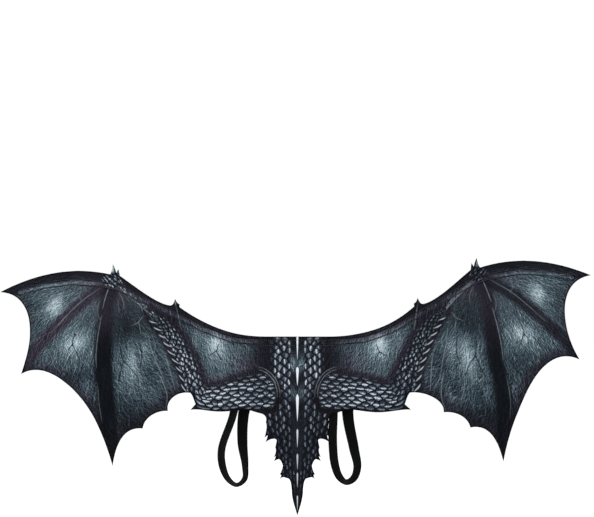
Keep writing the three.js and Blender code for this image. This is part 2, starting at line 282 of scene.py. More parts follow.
def reliefAt(across, up):
    out = np.abs(across)
    distance, _, along = toLine(out, up, np.array(tapeRoute, float))
    ridge = relief["ridge"] * (1 - smooth(distance, relief["ridgeHalf"] - 1.6, relief["ridgeHalf"] + 1.2))
    wave = 0.5 + 0.5 * np.sin(2 * np.pi * along / relief["puckerLong"] + 1.4 * np.sin(along / 23))
    pucker = relief["pucker"] * wave * np.exp(-(np.maximum(0, distance - 5) / relief["puckerReach"]) ** 2)
    pucker *= smooth(distance, 2.5, 6)
    u, v = grainAt(out, up)
    loose = smooth(out, 112, 150) * smooth(distance, 6, 22)
    spread = loose * smooth(v, 20, 90)
    creases = np.array([
        noise.noise(Vector((a / relief["creaseWide"], b / relief["creaseLong"], s * 3.7)))
        for a, b, s in zip(u, v, np.sign(across))])
    crease = relief["crease"] * loose * (1 - np.minimum(1, np.abs(creases) * 3.2)) ** 2
    wave = np.sin(2 * np.pi * u / relief["foldEvery"] + np.sign(across))
    fold = relief["fold"] * spread * (0.5 + 0.5 * wave)
    return -(ridge + pucker + crease + fold * 0.5)


def place(across, up, proud):  # a point of the flat cut on the worn wings, in metres
    across, up = np.asarray(across, float), np.asarray(up, float)
    side, out = np.where(across < 0, -1.0, 1.0), np.abs(across)
    spread = np.maximum(0, (out - lay["flatHalf"]) / (lay["halfSpan"] - lay["flatHalf"]))
    free = smooth(out, lay["flatHalf"], lay["freeHalf"])
    billow = sum(web["deep"] * spot(out, up, web) for web in webs)
    phase = np.where(side > 0, lay["flutterRight"], lay["flutterLeft"])
    hanging = 1 - smooth(up, *lay["flutterUp"])
    flutter = lay["flutter"] * hanging * np.sin(2 * np.pi * out / lay["flutterLong"] + phase)
    low = np.maximum(0, (lay["curlUp"][1] - up) / (lay["curlUp"][1] - lay["curlUp"][0]))
    curl = lay["curl"] * low**2 * (1 - smooth(out, *lay["curlFade"]))
    away = sheetMiddle - lay["sweep"] * spread**2 + free * (flutter - billow) - curl
    turn = side * lay["swing"] * smooth(out, *lay["swingFade"])
    dx, dy = out - lay["swingPivot"][0], up - lay["swingPivot"][1]
    x = lay["swingPivot"][0] + dx * np.cos(turn) - dy * np.sin(turn)
    z = lay["swingPivot"][1] + dx * np.sin(turn) + dy * np.cos(turn)
    trail = side * smooth(out, *lay["trailFade"]) * (1 - smooth(up, *lay["trailUp"]))
    x, z = side * (x + trail * lay["trail"][0]), z + trail * lay["trail"][1] + lay["tapeDrop"]
    return np.stack([x, away + proud + reliefAt(across, up), z], 1) * mm


def newMesh(name, points, faces, materials):
    mesh = bpy.data.meshes.new(name)
    mesh.from_pydata(points.tolist(), [], faces)
    piece = bpy.data.objects.new(name, mesh)
    bpy.context.scene.collection.objects.link(piece)
    for material in materials:
        mesh.materials.append(material)
    mesh.shade_smooth()
    return piece


def giveMap(piece, name, u, v):  # a UV map from one pair of numbers for each vertex
    layer = piece.data.uv_layers.new(name=name)
    corners = np.empty(len(piece.data.loops), np.int32)
    piece.data.loops.foreach_get("vertex_index", corners)
    layer.uv.foreach_set("vector", np.stack([u, v], 1)[corners].astype(np.float32).ravel())


def turnOutwards(piece):
    turned = bmesh.new()
    turned.from_mesh(piece.data)
    bmesh.ops.recalc_face_normals(turned, faces=turned.faces[:])
    turned.to_mesh(piece.data)
    turned.free()


def giveNumber(piece, name, values):
    layer = piece.data.attributes.new(name, "FLOAT", "POINT")
    layer.data.foreach_set("value", np.asarray(values, np.float32))


def applyModifiers(piece):
    bpy.ops.object.select_all(action="DESELECT")
    piece.select_set(True)
    bpy.context.view_layer.objects.active = piece
    for modifier in list(piece.modifiers):
        bpy.ops.object.modifier_apply(modifier=modifier.name)
    piece.select_set(False)


# Shader helpers
def fill(tree, node, values):  # links a socket to what feeds it, or sets its value on the socket itself
    for key, value in values.items():
        if isinstance(value, bpy.types.NodeSocket):
            tree.links.new(value, node.inputs[key])
        else:
            node.inputs[key].default_value = value
    return node


def put(tree, kind, values=None, **settings):
    node = tree.nodes.new("ShaderNode" + kind)
    for key, value in settings.items():
        setattr(node, key, value)
    return fill(tree, node, values or {})


def calc(tree, operation, *values):
    return put(tree, "Math", dict(enumerate(values)), operation=operation).outputs[0]


def calcOf(operation):
    return lambda tree, *values: calc(tree, operation, *values)


plus, minus, times, scaled = map(calcOf, ("ADD", "SUBTRACT", "MULTIPLY", "MULTIPLY_ADD"))


def fade(tree, value, low, high, start=0.0, end=1.0):
    values = {0: value, 1: low, 2: high, 3: start, 4: end}
    return put(tree, "MapRange", values, interpolation_type="SMOOTHSTEP").outputs[0]


def blendColours(tree, amount, first, second):
    return put(tree, "Mix", {0: amount, 6: first, 7: second}, data_type="RGBA").outputs[2]


def ramp(tree, value, stops):
    node = put(tree, "ValToRGB", {0: value})
    points = node.color_ramp.elements
    while len(points) < len(stops):
        points.new(0.5)
    for point, (position, tint) in zip(points, stops):
        point.position, point.color = position, paint(tint)
    return node.outputs[0]


def paint(tint):  # a colour as it looks on screen, 0 to 255, as a shader colour
    parts = [part / 255 for part in tint]
    return (*[p / 12.92 if p <= 0.04045 else ((p + 0.055) / 1.055) ** 2.4 for p in parts], 1.0)


def field(tree, name):
    return put(tree, "Attribute", attribute_name=name).outputs["Fac"]


def mapped(tree, name, scale=(1, 1, 1)):
    uv = put(tree, "UVMap", uv_map=name).outputs[0]
    return put(tree, "Mapping", {"Vector": uv, "Scale": scale}).outputs[0]


def split(tree, vector):
    return put(tree, "SeparateXYZ", {0: vector}).outputs


def bumpOf(tree, height, strength, distance):
    return put(tree, "Bump", {"Height": height, "Strength": strength, "Distance": distance}).outputs[0]


def newMaterial(name):
    material = bpy.data.materials.new(name)
    material.use_nodes = True
    return material, material.node_tree, material.node_tree.nodes["Principled BSDF"]


def newGroup(name, inputs, outputs):
    group = bpy.data.node_groups.new(name, "ShaderNodeTree")
    for socket, kind, value in inputs:
        made = group.interface.new_socket(socket, in_out="INPUT", socket_type="NodeSocket" + kind)
        if value is not None:
            made.default_value = value
    for socket in outputs:
        group.interface.new_socket(socket, in_out="OUTPUT", socket_type="NodeSocketFloat")
    return group, group.nodes.new("NodeGroupInput").outputs, group.nodes.new("NodeGroupOutput")


def useGroup(tree, group, values):
    return put(tree, "Group", values, node_tree=group).outputs


def makeWeave():  # plain weave: threads over and under, in thread counts
    group, given, end = newGroup("threadWeave", [("Vector", "Vector", None)], ["Height", "Shade"])
    counts = split(group, given["Vector"])
    waves = []
    for axis, other in ((0, 1), (1, 0)):
        crown = times(group, calc(group, "PINGPONG", counts[axis], 0.5), 2.0)
        step = times(group, calc(group, "FLOOR", counts[axis]), math.pi)
        turn = plus(group, times(group, counts[other], math.pi), plus(group, step, axis * math.pi))
        waves.append(times(group, crown, scaled(group, calc(group, "SINE", turn), 0.5, 0.5)))
    height = calc(group, "MAXIMUM", *waves)
    fuzz = put(group, "TexNoise", {"Vector": given["Vector"], "Scale": 0.35, "Detail": 4.0}).outputs[0]
    # Shade is the fibres' random tone plus a painted highlight on the raised thread crowns
    fill(group, end, {"Height": height, "Shade": scaled(group, fuzz, 0.7, scaled(group, height, 0.3, 0.15))})
    return group


def makeLeather():  # crinkled grain, lit from one side, with long fine creases, in millimetres
    group, given, end = newGroup(
        "crinkledGrain", [("Vector", "Vector", None), ("Seed", "Float", 0.0)],
        ["Emboss", "Mottle", "Lines", "Height"])

    def streaks(scale, detail, rough, twist, shift=(0, 0, 0)):
        at = put(group, "VectorMath", {0: given["Vector"], 1: shift}, operation="ADD").outputs[0]
        at = put(group, "VectorMath", {0: at, 1: scale}, operation="MULTIPLY").outputs[0]
        values = {"Vector": at, "W": given["Seed"], "Scale": 1.0, "Detail": detail, "Roughness": rough,
                  "Distortion": twist}
        return put(group, "TexNoise", values, noise_dimensions="4D").outputs[0]

    def thinLine(value, level, wide):  # where the value passes the level
        return fade(group, calc(group, "ABSOLUTE", minus(group, value, level)), wide, 0.0)

    crinkles = (0.3, 0.16, 1), 2.0, 0.6, 0.9
    crinkle, beside = streaks(*crinkles), streaks(*crinkles, (0.7, 0.7, 0))   # the second stands 1 mm away
    broad = streaks((0.07, 0.028, 1), 3.0, 0.55, 0.3)
    crease = streaks((0.13, 0.024, 1), 2.0, 0.5, 0.25)
    emboss = scaled(group, minus(group, beside, crinkle), 3.4, 0.45)
    emboss = scaled(group, thinLine(crinkle, 0.53, 0.03), 0.22, emboss)
    emboss = calc(group, "MAXIMUM", calc(group, "MINIMUM", emboss, 1.0), 0.0)
    lines = thinLine(crease, 0.5, 0.028)
    mottle = fade(group, plus(group, times(group, crinkle, 0.4), times(group, broad, 0.6)), 0.32, 0.68)
    height = scaled(group, lines, 0.3, crinkle)
    fill(group, end, {"Emboss": emboss, "Mottle": mottle, "Lines": lines, "Height": height})
    return group


def makeScales():  # rows of overlapping scales on a slanted lattice, one scale to a cell
    group, given, end = newGroup(
        "scaleRows", [("Vector", "Vector", None), ("Wander", "Float", 0.3), ("Long", "Float", 0.7)],
        ["Light", "Body", "Gap", "Height"])
    values = {"Vector": given["Vector"], "Scale": 1.0, "Randomness": given["Wander"]}
    cell = put(group, "TexVoronoi", values, voronoi_dimensions="2D").outputs
    edge = put(group, "TexVoronoi", values, voronoi_dimensions="2D", feature="DISTANCE_TO_EDGE").outputs[0]
    inCell = {0: given["Vector"], 1: cell["Position"]}
    local = split(group, put(group, "VectorMath", inCell, operation="SUBTRACT").outputs[0])
    p = plus(group, local[0], local[1])    # across the scale
    q = minus(group, local[0], local[1])   # along it, up towards its root
    chance = put(group, "SeparateColor", {0: cell["Color"]}).outputs

    # A drop with its round end at the tip of the scale, and brighter along one side
    t = scaled(group, calc(group, "DIVIDE", q, given["Long"]), 0.5, 0.5)
    t = calc(group, "MINIMUM", calc(group, "MAXIMUM", t, 0.0), 1.0)
    half = times(group, calc(group, "SQRT", t), minus(group, 1.0, t))
    half = times(group, times(group, half, scaled(group, chance[1], 0.6, 0.6)), 0.72)
    off = minus(group, p, times(group, q, scaled(group, chance[2], 0.3, -0.15)))
    drop = minus(group, half, calc(group, "ABSOLUTE", plus(group, off, 0.09)))
    light = times(group, fade(group, drop, -0.07, 0.13), fade(group, off, 0.3, -0.3, 0.3, 1.0))
    light = times(group, light, scaled(group, chance[0], 1.0, 0.4))
    body = times(group, fade(group, edge, 0.01, 0.2), fade(group, q, -0.95, 0.9, 0.4, 1.0))
    body = times(group, body, fade(group, off, 0.7, -0.5, 0.35, 1.0))
    height = minus(group, fade(group, edge, 0.0, 0.3), times(group, q, 0.25))
    fill(group, end, {"Light": light, "Body": body, "Gap": fade(group, edge, 0.07, 0.015), "Height": height})
    return group


threadWeave, crinkledGrain, scaleRows = makeWeave(), makeLeather(), makeScales()

outerPrint = {
    "seed": 1.3, "emboss": 1.5, "mottle": 0.28,
    "teal": [(0.0, (6, 8, 12)), (0.2, (27, 33, 39)), (0.42, (62, 76, 84)), (0.7, (110, 128, 136)),
             (1.0, (192, 204, 210))],
    "violet": [(0.0, (8, 8, 12)), (0.22, (38, 35, 45)), (0.5, (78, 73, 86)), (1.0, (160, 158, 170))],
    "scales": [(0.0, (8, 10, 15)), (0.28, (50, 56, 66)), (0.6, (112, 121, 132)), (1.0, (204, 210, 218))],
    "pale": (158, 168, 174), "spike": (222, 230, 233), "rim": (4, 4, 6),
}
innerPrint = {
    "seed": 1.3, "emboss": 0.65, "mottle": 0.45,
    "teal": [(0.0, (10, 20, 29)), (0.2, (38, 56, 66)), (0.45, (73, 101, 107)), (0.7, (108, 138, 143)),
             (1.0, (192, 212, 216))],
    "violet": [(0.0, (10, 19, 30)), (0.22, (34, 50, 64)), (0.5, (64, 86, 97)), (1.0, (150, 170, 178))],
    "scales": [(0.0, (7, 14, 19)), (0.28, (34, 52, 59)), (0.6, (68, 92, 98)), (1.0, (122, 148, 153))],
    "pale": (106, 132, 139), "spike": (192, 212, 218), "rim": (4, 6, 8),
}


inMm = (1000, 1000, 1)   # reads a map that is in metres in millimetres
barbs = {"apart": 17.5, "lean": 0.52, "hook": 0.3, "off": 4.0, "half": 1.2}
cloth = {
    "edgeStep": 2.3, "step": 2.42, "clear": 0.62, "gridOut": 528, "gridUp": (-322, 140),
    "flat": (0.455, 1.05), "area": 0.197, "threads": 2200,
}
seam = {
    "rowAway": 4.7, "length": 3.0, "apart": 3.7, "wide": 0.75, "high": 0.55, "ends": 494,
    "boxesOut": (66, 92), "boxUp": -11, "boxHalf": (10, 4.2),
}
finish = {  # what both printed faces share
    "streaks": 0.2, "veinDark": 0.65, "scaleBody": 0.47, "scaleLight": (0.34, 0.18), "gapDark": 0.85,
    "needleGrooveShade": 0.85, "rimWide": (3.2, 1.0), "gloss": 0.035, "bump": (0.5, 0.0008),
}


def printedMaterial(name, look):
    material, tree, shader = newMaterial(name)
    grain = useGroup(tree, crinkledGrain, {"Vector": mapped(tree, "grain", inMm), "Seed": look["seed"]})
    scales = useGroup(tree, scaleRows, {"Vector": mapped(tree, "rows"), "Wander": field(tree, "wander"),
                                        "Long": field(tree, "scaleLong")})
    threads = mapped(tree, "cut", (cloth["threads"], cloth["threads"], 1))
    weave = useGroup(tree, threadWeave, {"Vector": threads})

    # The tone is made rougher by the grain and picks its colour from two ramps.
    tone = field(tree, "tone")
    lit = minus(tree, grain["Emboss"], 0.5)
    swing = times(tree, minus(tree, grain["Mottle"], 0.5), look["mottle"])
    swing = scaled(tree, lit, look["emboss"], swing)
    tone = scaled(tree, calc(tree, "MINIMUM", plus(tree, tone, 0.07), 0.46), swing, tone)
    tone = scaled(tree, times(tree, grain["Lines"], field(tree, "streaks")), finish["streaks"], tone)
    vein = fade(tree, field(tree, "vein"), 1.3, 0.1)
    tone = times(tree, tone, scaled(tree, vein, -finish["veinDark"], 1.0))
    teal, violet = ramp(tree, tone, look["teal"]), ramp(tree, tone, look["violet"])
    colour = blendColours(tree, field(tree, "violet"), teal, violet)

    # Thin pale lines, broken up by the grain
    broken = fade(tree, scaled(tree, grain["Mottle"], 0.5, grain["Emboss"]), 0.35, 0.95, 0.3, 1.0)
    pale = fade(tree, scaled(tree, lit, 1.3, field(tree, "pale")), 1.25, 0.15)
    pale = times(tree, pale, times(tree, field(tree, "paleness"), broken))
    colour = blendColours(tree, pale, colour, paint(look["pale"]))

    # Scales on the arm, the back and the wrist
    level = field(tree, "scaleLevel")
    bodies = times(tree, times(tree, scales["Body"], calc(tree, "POWER", level, 2.0)), finish["scaleBody"])
    lights = times(tree, scales["Light"], scaled(tree, level, *finish["scaleLight"]))
    shine = times(tree, plus(tree, bodies, lights), scaled(tree, lit, 0.9, 1.0))
    shine = times(tree, shine, scaled(tree, scales["Gap"], -finish["gapDark"], 1.0))
    scaleZone = field(tree, "scaleZone")
    colour = blendColours(tree, scaleZone, colour, ramp(tree, shine, look["scales"]))

    # Barbs along the forearm, one in each stretch of the limb
    limb = split(tree, mapped(tree, "limb", (1000 / barbs["apart"], 1000, 1)))
    step = minus(tree, calc(tree, "FRACT", limb[0]), 0.5)
    bend = times(tree, step, step)
    offset = scaled(tree, step, -barbs["lean"] * barbs["apart"], limb[1])
    offset = scaled(tree, bend, barbs["hook"] * barbs["apart"], offset)
    offset = calc(tree, "ABSOLUTE", minus(tree, offset, barbs["off"]))
    half = scaled(tree, bend, -4.4 * barbs["half"], barbs["half"])
    barb = times(tree, fade(tree, minus(tree, half, offset), -0.4, 0.5), field(tree, "barbZone"))
    colour = blendColours(tree, barb, colour, paint(look["pale"]))

    # Painted shade in the sunken needle rows, bright lenses down the middle, and the black line round the cut
    # edge
    rowOff = calc(tree, "ABSOLUTE", minus(tree, field(tree, "seamOff"), seam["rowAway"]))
    row = times(tree, fade(tree, rowOff, 1.9, 0.4), finish["needleGrooveShade"])
    colour = blendColours(tree, row, colour, paint(look["rim"]))
    middle = calc(tree, "ABSOLUTE", split(tree, mapped(tree, "cut", inMm))[0])
    lens = fade(tree, minus(tree, field(tree, "spike"), middle), -0.5, 0.7)
    colour = blendColours(tree, times(tree, lens, field(tree, "spikeLevel")), colour, paint(look["spike"]))
    rim = fade(tree, field(tree, "edge"), *finish["rimWide"])
    colour = blendColours(tree, rim, colour, paint(look["rim"]))

    height = scaled(tree, weave["Height"], 0.12, times(tree, grain["Height"], 0.7))
    height = scaled(tree, times(tree, scales["Height"], scaleZone), 0.3, height)
    fill(tree, shader, {
        "Base Color": colour, "Normal": bumpOf(tree, height, *finish["bump"]),
        "Roughness": scaled(tree, grain["Mottle"], -0.16, 0.66), "Specular IOR Level": finish["gloss"]})
    return material


def ribbedMaterial(name, look):  # woven tape and elastic
    material, tree, shader = newMaterial(name)
    threads = mapped(tree, "cut", (1000 / look["pick"], 1000 / look["end"], 1))
    weave = useGroup(tree, threadWeave, {"Vector": threads})
    ribs = times(tree, split(tree, mapped(tree, "cut", inMm))[1], 2 * math.pi / look["rib"])
    ribs = calc(tree, "SINE", ribs)
    # painted shade: the rib crests are coloured lighter and the hollows darker, over the weave's shade
    shade = scaled(tree, ribs, look["ribShade"], weave["Shade"])
    height = scaled(tree, ribs, look["ribHeight"], weave["Height"])
    fill(tree, shader, {
        "Base Color": ramp(tree, shade, look["tints"]), "Normal": bumpOf(tree, height, 0.6, 0.0003),
        "Roughness": scaled(tree, weave["Shade"], -0.2, 0.85), "Specular IOR Level": finish["gloss"]})
    return material


def threadMaterial(name, tints):
    material, tree, shader = newMaterial(name)
    inPiece = put(tree, "TexCoord").outputs["Object"]
    fibres = put(tree, "TexNoise", {"Vector": inPiece, "Scale": 1400.0, "Detail": 3.0}).outputs[0]
    fill(tree, shader, {
        "Base Color": ramp(tree, fibres, tints), "Normal": bumpOf(tree, fibres, 0.4, 0.0002),
        "Roughness": 0.55, "Specular IOR Level": 0.3})
    return material


def cutRing(step):  # the closed cut edge
    half = [np.array([cutEdge[0][1]], float)]
    for row in cutEdge[1:]:
        start, end = half[-1][-1], np.array(row[1], float)
        stretch = np.array([start, end])
        if len(row) > 2:
            h1, h2 = np.array(row[2], float), np.array(row[3], float)
            t = np.linspace(0, 1, 60)[:, None]
            stretch = (1 - t)**3 * start + 3 * (1 - t)**2 * t * h1 + 3 * (1 - t) * t**2 * h2 + t**3 * end
        half.append(spaced(stretch, step)[1:])
    half = np.vstack(half)
    return np.vstack([half, half[:0:-1] * (-1, 1)])


def arcLine(extra):
    arc = shoulderArc
    turns = np.radians(np.linspace(arc["start"], arc["end"], 14))
    wide, tall = arc["wide"] + extra, arc["tall"] + extra
    return [(arc["out"] + wide * math.cos(turn), arc["up"] + tall * math.sin(turn)) for turn in turns]


shoulderLines = [(arcLine(i * shoulderArc["apart"]), level) for i, level in enumerate(shoulderArc["levels"])]


def distanceTo(marks, points):  # from each point to the nearest mark
    tree = kdtree.KDTree(len(marks))
    for i, (x, y) in enumerate(marks):
        tree.insert((x, y, 0), i)
    tree.balance()
    return np.array([tree.find((x, y, 0))[2] for x, y in points])


def stitchLine(shift):  # a line beside the tape's middle line
    line = spaced(tapeLine, 2.0)
    return line + shift * leftOf(unit(np.gradient(line, axis=0)))


def insideRing(points, ring):
    x, y = points.T
    inside = np.zeros(len(points), bool)
    for (x1, y1), (x2, y2) in zip(ring, np.roll(ring, -1, 0)):
        if y1 != y2:
            inside ^= ((y1 > y) != (y2 > y)) & (x < (x2 - x1) * (y - y1) / (y2 - y1) + x1)
    return inside


def flatMesh():  # the cut cloth as triangles, with points along every printed line
    ring = cutRing(cloth["edgeStep"])
    drawn = [spaced(np.array([(0.0, 0.0), cutEdge[0][1]]), cloth["edgeStep"])[1:-1]]
    for line in [line for line, _ in paleLines + shoulderLines] + veins:
        curve = spaced(curveThrough(line, 6), cloth["edgeStep"])
        drawn += [curve, curve * (-1, 1)]
    for half in (1, -1):
        for shift in (-1, 1):
            row = stitchLine(shift * seam["rowAway"])
            drawn.append(spaced(row[row[:, 0] * half > 1], cloth["edgeStep"]))
    edges, points = [(i, (i + 1) % len(ring)) for i in range(len(ring))], [ring]
    count = len(ring)
    for line in drawn:
        kept = line[insideRing(line, ring)]
        points.append(kept)
        edges += [(count + i, count + i + 1) for i in range(len(kept) - 1)
                  if np.hypot(*(kept[i + 1] - kept[i])) < 2 * cloth["edgeStep"]]
        count += len(kept)
    fixed = np.vstack(points)
    step = cloth["step"]
    rows = np.arange(*cloth["gridUp"], step * math.sqrt(3) / 2)
    columns = np.arange(-cloth["gridOut"], cloth["gridOut"], step)
    grid = np.vstack([np.stack([columns + i % 2 * step / 2, np.full(len(columns), y)], 1)
                      for i, y in enumerate(rows)])
    grid = grid[insideRing(grid, ring)]
    everything = np.vstack([fixed, grid[distanceTo(fixed, grid) > cloth["clear"] * step]])
    found = delaunay_2d_cdt([Vector(p) for p in everything], edges, [], 1, 1e-3, False)
    flat = np.array([tuple(p) for p in found[0]])
    faces = np.array([face for face in found[2] if len(face) == 3])
    faces = faces[insideRing(flat[faces].mean(1), ring)]
    return flat, faces.tolist()


def nearestLine(out, up, lines):  # how far the nearest line is, and its strength, which fades at its ends
    distance, value = np.full(out.shape, 50.0), np.zeros(out.shape)
    for line, strength in lines:
        reach, _, along = toLine(out, up, curveThrough(line, 6))
        long = along.max()
        strength = strength * np.minimum(1, 0.35 + 2.6 * np.minimum(along, long - along) / long)
        value = np.where(reach < distance, strength, value)
        distance = np.minimum(distance, reach)
    return distance, value


def lensFields(out, up):  # half the width of the bright lenses at each height, and their brightness
    spike, level = np.full(out.shape, -3.0), np.zeros(out.shape)
    for top, bottom, halfWide, bright in spikes:
        t = (top - up) / (top - bottom)
        shape = halfWide * np.clip(t / 0.14, 0, 1) ** 0.6 * np.clip(1 - (t - 0.1) / 0.9, 0, 1) ** 0.75
        within = (t > -0.05) & (t < 1.05)
        spike = np.where(within, np.where((t > 0) & (t < 1), shape, -1.0), spike)
        level = np.where(within, bright, level)
    return spike, level


def printFields(across, up):  # the print as numbers and maps on each vertex
    out = np.abs(across)
    edge = distanceTo(cutRing(0.6), zip(across, up))
    right = smooth(across, 150, 260)   # the right wing's print differs a little from the left's
    pale, paleness = nearestLine(out, up, paleLines + shoulderLines)
    vein, _ = nearestLine(out, up, [(line, 1) for line in veins])
    spike, spikeLevel = lensFields(out, up)

    fingerOne, _, _ = toLine(out, up, curveThrough(printed["fingerOne"], 8))
    fingerTwo, _, twoAlong = toLine(out, up, curveThrough(printed["fingerTwo"], 8))
    one, two = 1 - smooth(fingerOne, 5.5, 15), 1 - smooth(fingerTwo, 6, 21)
    armLine = curveThrough(printed["arm"], 12)
    armOff, armSide, armAlong = toLine(out, up, armLine)
    knots = toLine(*np.array(printed["arm"], float).T, armLine)[2]
    half = np.interp(armAlong, knots, armScales["half"])
    half -= 8 * spot(out, up, slimArm) * (1 - smooth(across, -60, 60)) * (armSide > 0)   # slimmer on the left
    tapeOff, tapeSide, _ = toLine(out, up, np.array(tapeRoute, float))
    above = tapeSide > 0

    # The scale zones
    arc, rows = shoulderArc, backScales
    arcOut = arc["out"] - arc["wide"] * np.sqrt(np.maximum(0, 1 - ((up - arc["up"]) / arc["tall"]) ** 2))
    outer = np.where(up < rows["hipUp"], rows["hipHalf"], np.minimum(rows["half"], arcOut - 8))
    inner = rows["inner"] - (rows["inner"] - rows["innerLow"]) * smooth(-up, 170, 230)
    back = smooth(out, inner, inner + 3.5) * (1 - smooth(out, outer - 4, outer + 2))
    upperSide = smooth(armSide * armOff / half, 0.45, 1.0)
    arm = 1 - smooth(armOff - half + 3.5 * upperSide, -1.5, 3 + 4 * upperSide)
    arm *= smooth(out, arcOut + 2, arcOut + 6)
    arm = np.maximum(arm, smooth(spot(out, up, elbowScales), 0.35, 0.5) * (armOff < 34))
    dx, dy = out - knuckleScales["out"], up - knuckleScales["up"]
    knuckle = 1 - smooth(np.hypot(dx, dy), *knuckleScales["reach"])
    knuckle *= 1 - smooth(up, *knuckleScales["top"])
    ridgeOff, _, ridgeAlong = toLine(out, up, curveThrough(printed["wristRidge"], 8))
    ridge = (1 - smooth(ridgeOff, 2.5, 6)) * (1 - smooth(ridgeAlong, 60, 95))
    knuckle = np.maximum(knuckle, (0.8 - 0.6 * right) * ridge)
    isArm, isKnuckle = arm > back, knuckle > 0.02

    # Where each point lies on the lattice of scales: p across the rows and q along them
    stations = np.linspace(0, knots[-1], 200)
    pitch = np.interp(stations, knots, armScales["long"])
    counts = np.concatenate([[0], np.cumsum(knots[-1] / 199 / pitch[1:])])
    heights = np.linspace(-330, 20, 176)
    backCounts = np.concatenate([[0], np.cumsum(2 / np.interp(heights[1:], rows["up"], rows["long"]))])
    p = np.where(isArm, armSide * armOff / np.interp(armAlong, knots, armScales["wide"]),
                 out / np.interp(up, rows["up"], rows["wide"]) + rows["shift"])
    q = np.where(isArm, np.interp(armAlong, stations, counts), np.interp(up, heights, backCounts))
    dx, dy = dx / knuckleScales["size"], dy / knuckleScales["size"]
    p, q = np.where(isKnuckle, 0.8 * dx - 0.6 * dy, p), np.where(isKnuckle, 0.6 * dx + 0.8 * dy, q)
    forearm = smooth(armAlong, knots[2] - 10, knots[3] + 10) * isArm
    wander = np.where(isArm, 0.5 + 0.25 * forearm, 0.48 + 0.2 * smooth(-up, 150, 230))

    # The tone
    fingerDark = 0.5 + (0.46 - 0.16 * right) * smooth(-up, -34, 34)
    tone = 0.37 * (1 - 0.3 * one) * (1 - fingerDark * two)
    tone = tone + sum(row["tone"] * spot(out, up, row) * (1 - 0.8 * np.maximum(one, two)) for row in patches)
    tone += 0.12 * right * spot(out, up, rightGlow)
    nearArm = 1 - smooth(armOff - half, 4, 16)
    tone *= 1 - np.where(armSide > 0, 0.52, 0.72) * nearArm
    byTip = smooth(out, 400, 450) * smooth(up, -60, 0)
    tone *= 1 - (0.42 - 0.3 * byTip) * (1 - smooth(edge, 3, 26))
    tone *= np.where(above, 1 - 0.4 * smooth(tapeOff, 2, 5), 1)
    # painted highlight: the low ridge over the tape, between the needle rows, is made paler
    tone += (0.09 + 0.05 * smooth(out, 330, 380)) * (1 - smooth(tapeOff, 2.5, 4.2)) * (out > 60)
    tone *= 0.36 + 0.64 * smooth(out, 46, 84)
    glow = sum(row["tone"] * spot(out, up, row) for row in brightSpots)
    claws = np.minimum(1, 3 * glow)
    tone += glow * (1 + 0.6 * (up > 50)) * (1 - 0.65 * right)
    tone *= 1 - (0.8 - 0.35 * right) * smooth(twoAlong, 50, 150) * two
    dark = np.maximum(right * np.maximum(one, above), above * smooth(out, 370, 430))
    tone = np.clip(tone * (1 - 0.07 * right) * (1 - 0.35 * dark), 0.03, 1)

    violet = np.maximum.reduce([
        one, two * smooth(up, -50, 20), spot(out, up, wristViolet), 0.9 * nearArm,
        0.8 * above * smooth(out, 60, 200), (0.6 - 0.4 * byTip) * (1 - smooth(edge, 6, 26)),
        0.8 * spot(out, up, shoulderViolet), 0.8 * spot(out, up, armViolet),
        0.25 * (out < 12), 0.6 * smooth(out, 11, 13) * (1 - smooth(out, 56, 84))])
    violet *= (1 - claws) * (1 - 0.45 * dark)

    # How bright the scales are
    backLevel = (1.1 - 0.56 * smooth(-up, 85, 180)) * (1 - 0.35 * smooth(out, 34, 50) * (up > -90))
    armLevel = np.interp(armAlong, knots, armScales["level"]) * (1 - 0.3 * upperSide)
    level = np.where(isKnuckle, 1.1 - 0.35 * right, np.where(isArm, armLevel, backLevel))
    level *= (1 - 0.5 * (1 - smooth(edge, 2, 10))) * (1 - 0.2 * smooth(across, 110, 200))

    streaks = smooth(out, 180, 240) * smooth(edge, 2, 12) * (1 - 0.6 * np.maximum(one, two))
    barbZone = smooth(armAlong, knots[3] + 6, knots[3] + 12)
    barbZone *= (1 - smooth(armAlong, knots[-1] - 14, knots[-1] - 6)) * (armSide < 0)
    numbers = {
        "tone": tone, "violet": np.clip(violet, 0, 1), "pale": pale, "paleness": paleness, "vein": vein,
        "edge": edge + 2.6 * claws,   # the claws are rimmed thinly
        "spike": spike, "spikeLevel": spikeLevel, "seamOff": tapeOff, "barbZone": barbZone,
        "scaleZone": np.maximum.reduce([back, arm, knuckle]), "scaleLevel": level,
        "scaleLong": np.where(isArm, 1.0 - 0.3 * forearm, 0.9), "wander": np.where(isKnuckle, 1.0, wander),
        "streaks": streaks * (1 - 0.35 * smooth(-up, 70, 140)),
    }
    u, v = grainAt(out, up)
    maps = {
        "cut": (across * mm, up * mm),
        "grain": (np.where(across < 0, u + 700, u) * mm, v * mm),   # other streaks on the left wing
        "rows": (p + q, p - q),
        "limb": (armAlong * mm, (np.where(armSide < 0, armOff, -armOff) - half) * mm),
    }
    return numbers, maps


def makeCloth():
    flat, faces = flatMesh()
    across, up = flat.T
    points = place(across, up, 0)
    materials = [printedMaterial("outerPrint", outerPrint), printedMaterial("innerPrint", innerPrint),
                 threadMaterial("cutEdgeFibres", [(0.3, (7, 7, 9)), (0.7, (26, 25, 30))])]
    piece = newMesh("printed_wings", points, faces, materials)
    numbers, maps = printFields(across, up)
    for name, values in numbers.items():
        giveNumber(piece, name, values)
    for name, (u, v) in maps.items():
        giveMap(piece, name, u, v)
    facing = bmesh.new()
    facing.from_mesh(piece.data)
    facing.faces.ensure_lookup_table()
    if sum(face.normal.y * face.calc_area() for face in facing.faces) > 0:
        bmesh.ops.reverse_faces(facing, faces=facing.faces[:])
    facing.to_mesh(piece.data)
    facing.free()
    wall = piece.modifiers.new("wall", "SOLIDIFY")
    wall.thickness, wall.offset = lay["clothThick"] * mm, 0
    wall.material_offset, wall.material_offset_rim = 1, 2
    applyModifiers(piece)
    triangles = sum(len(p.vertices) - 2 for p in piece.data.polygons)
    print("cloth:", len(piece.data.vertices), "vertices,", triangles, "triangles")
    return piece


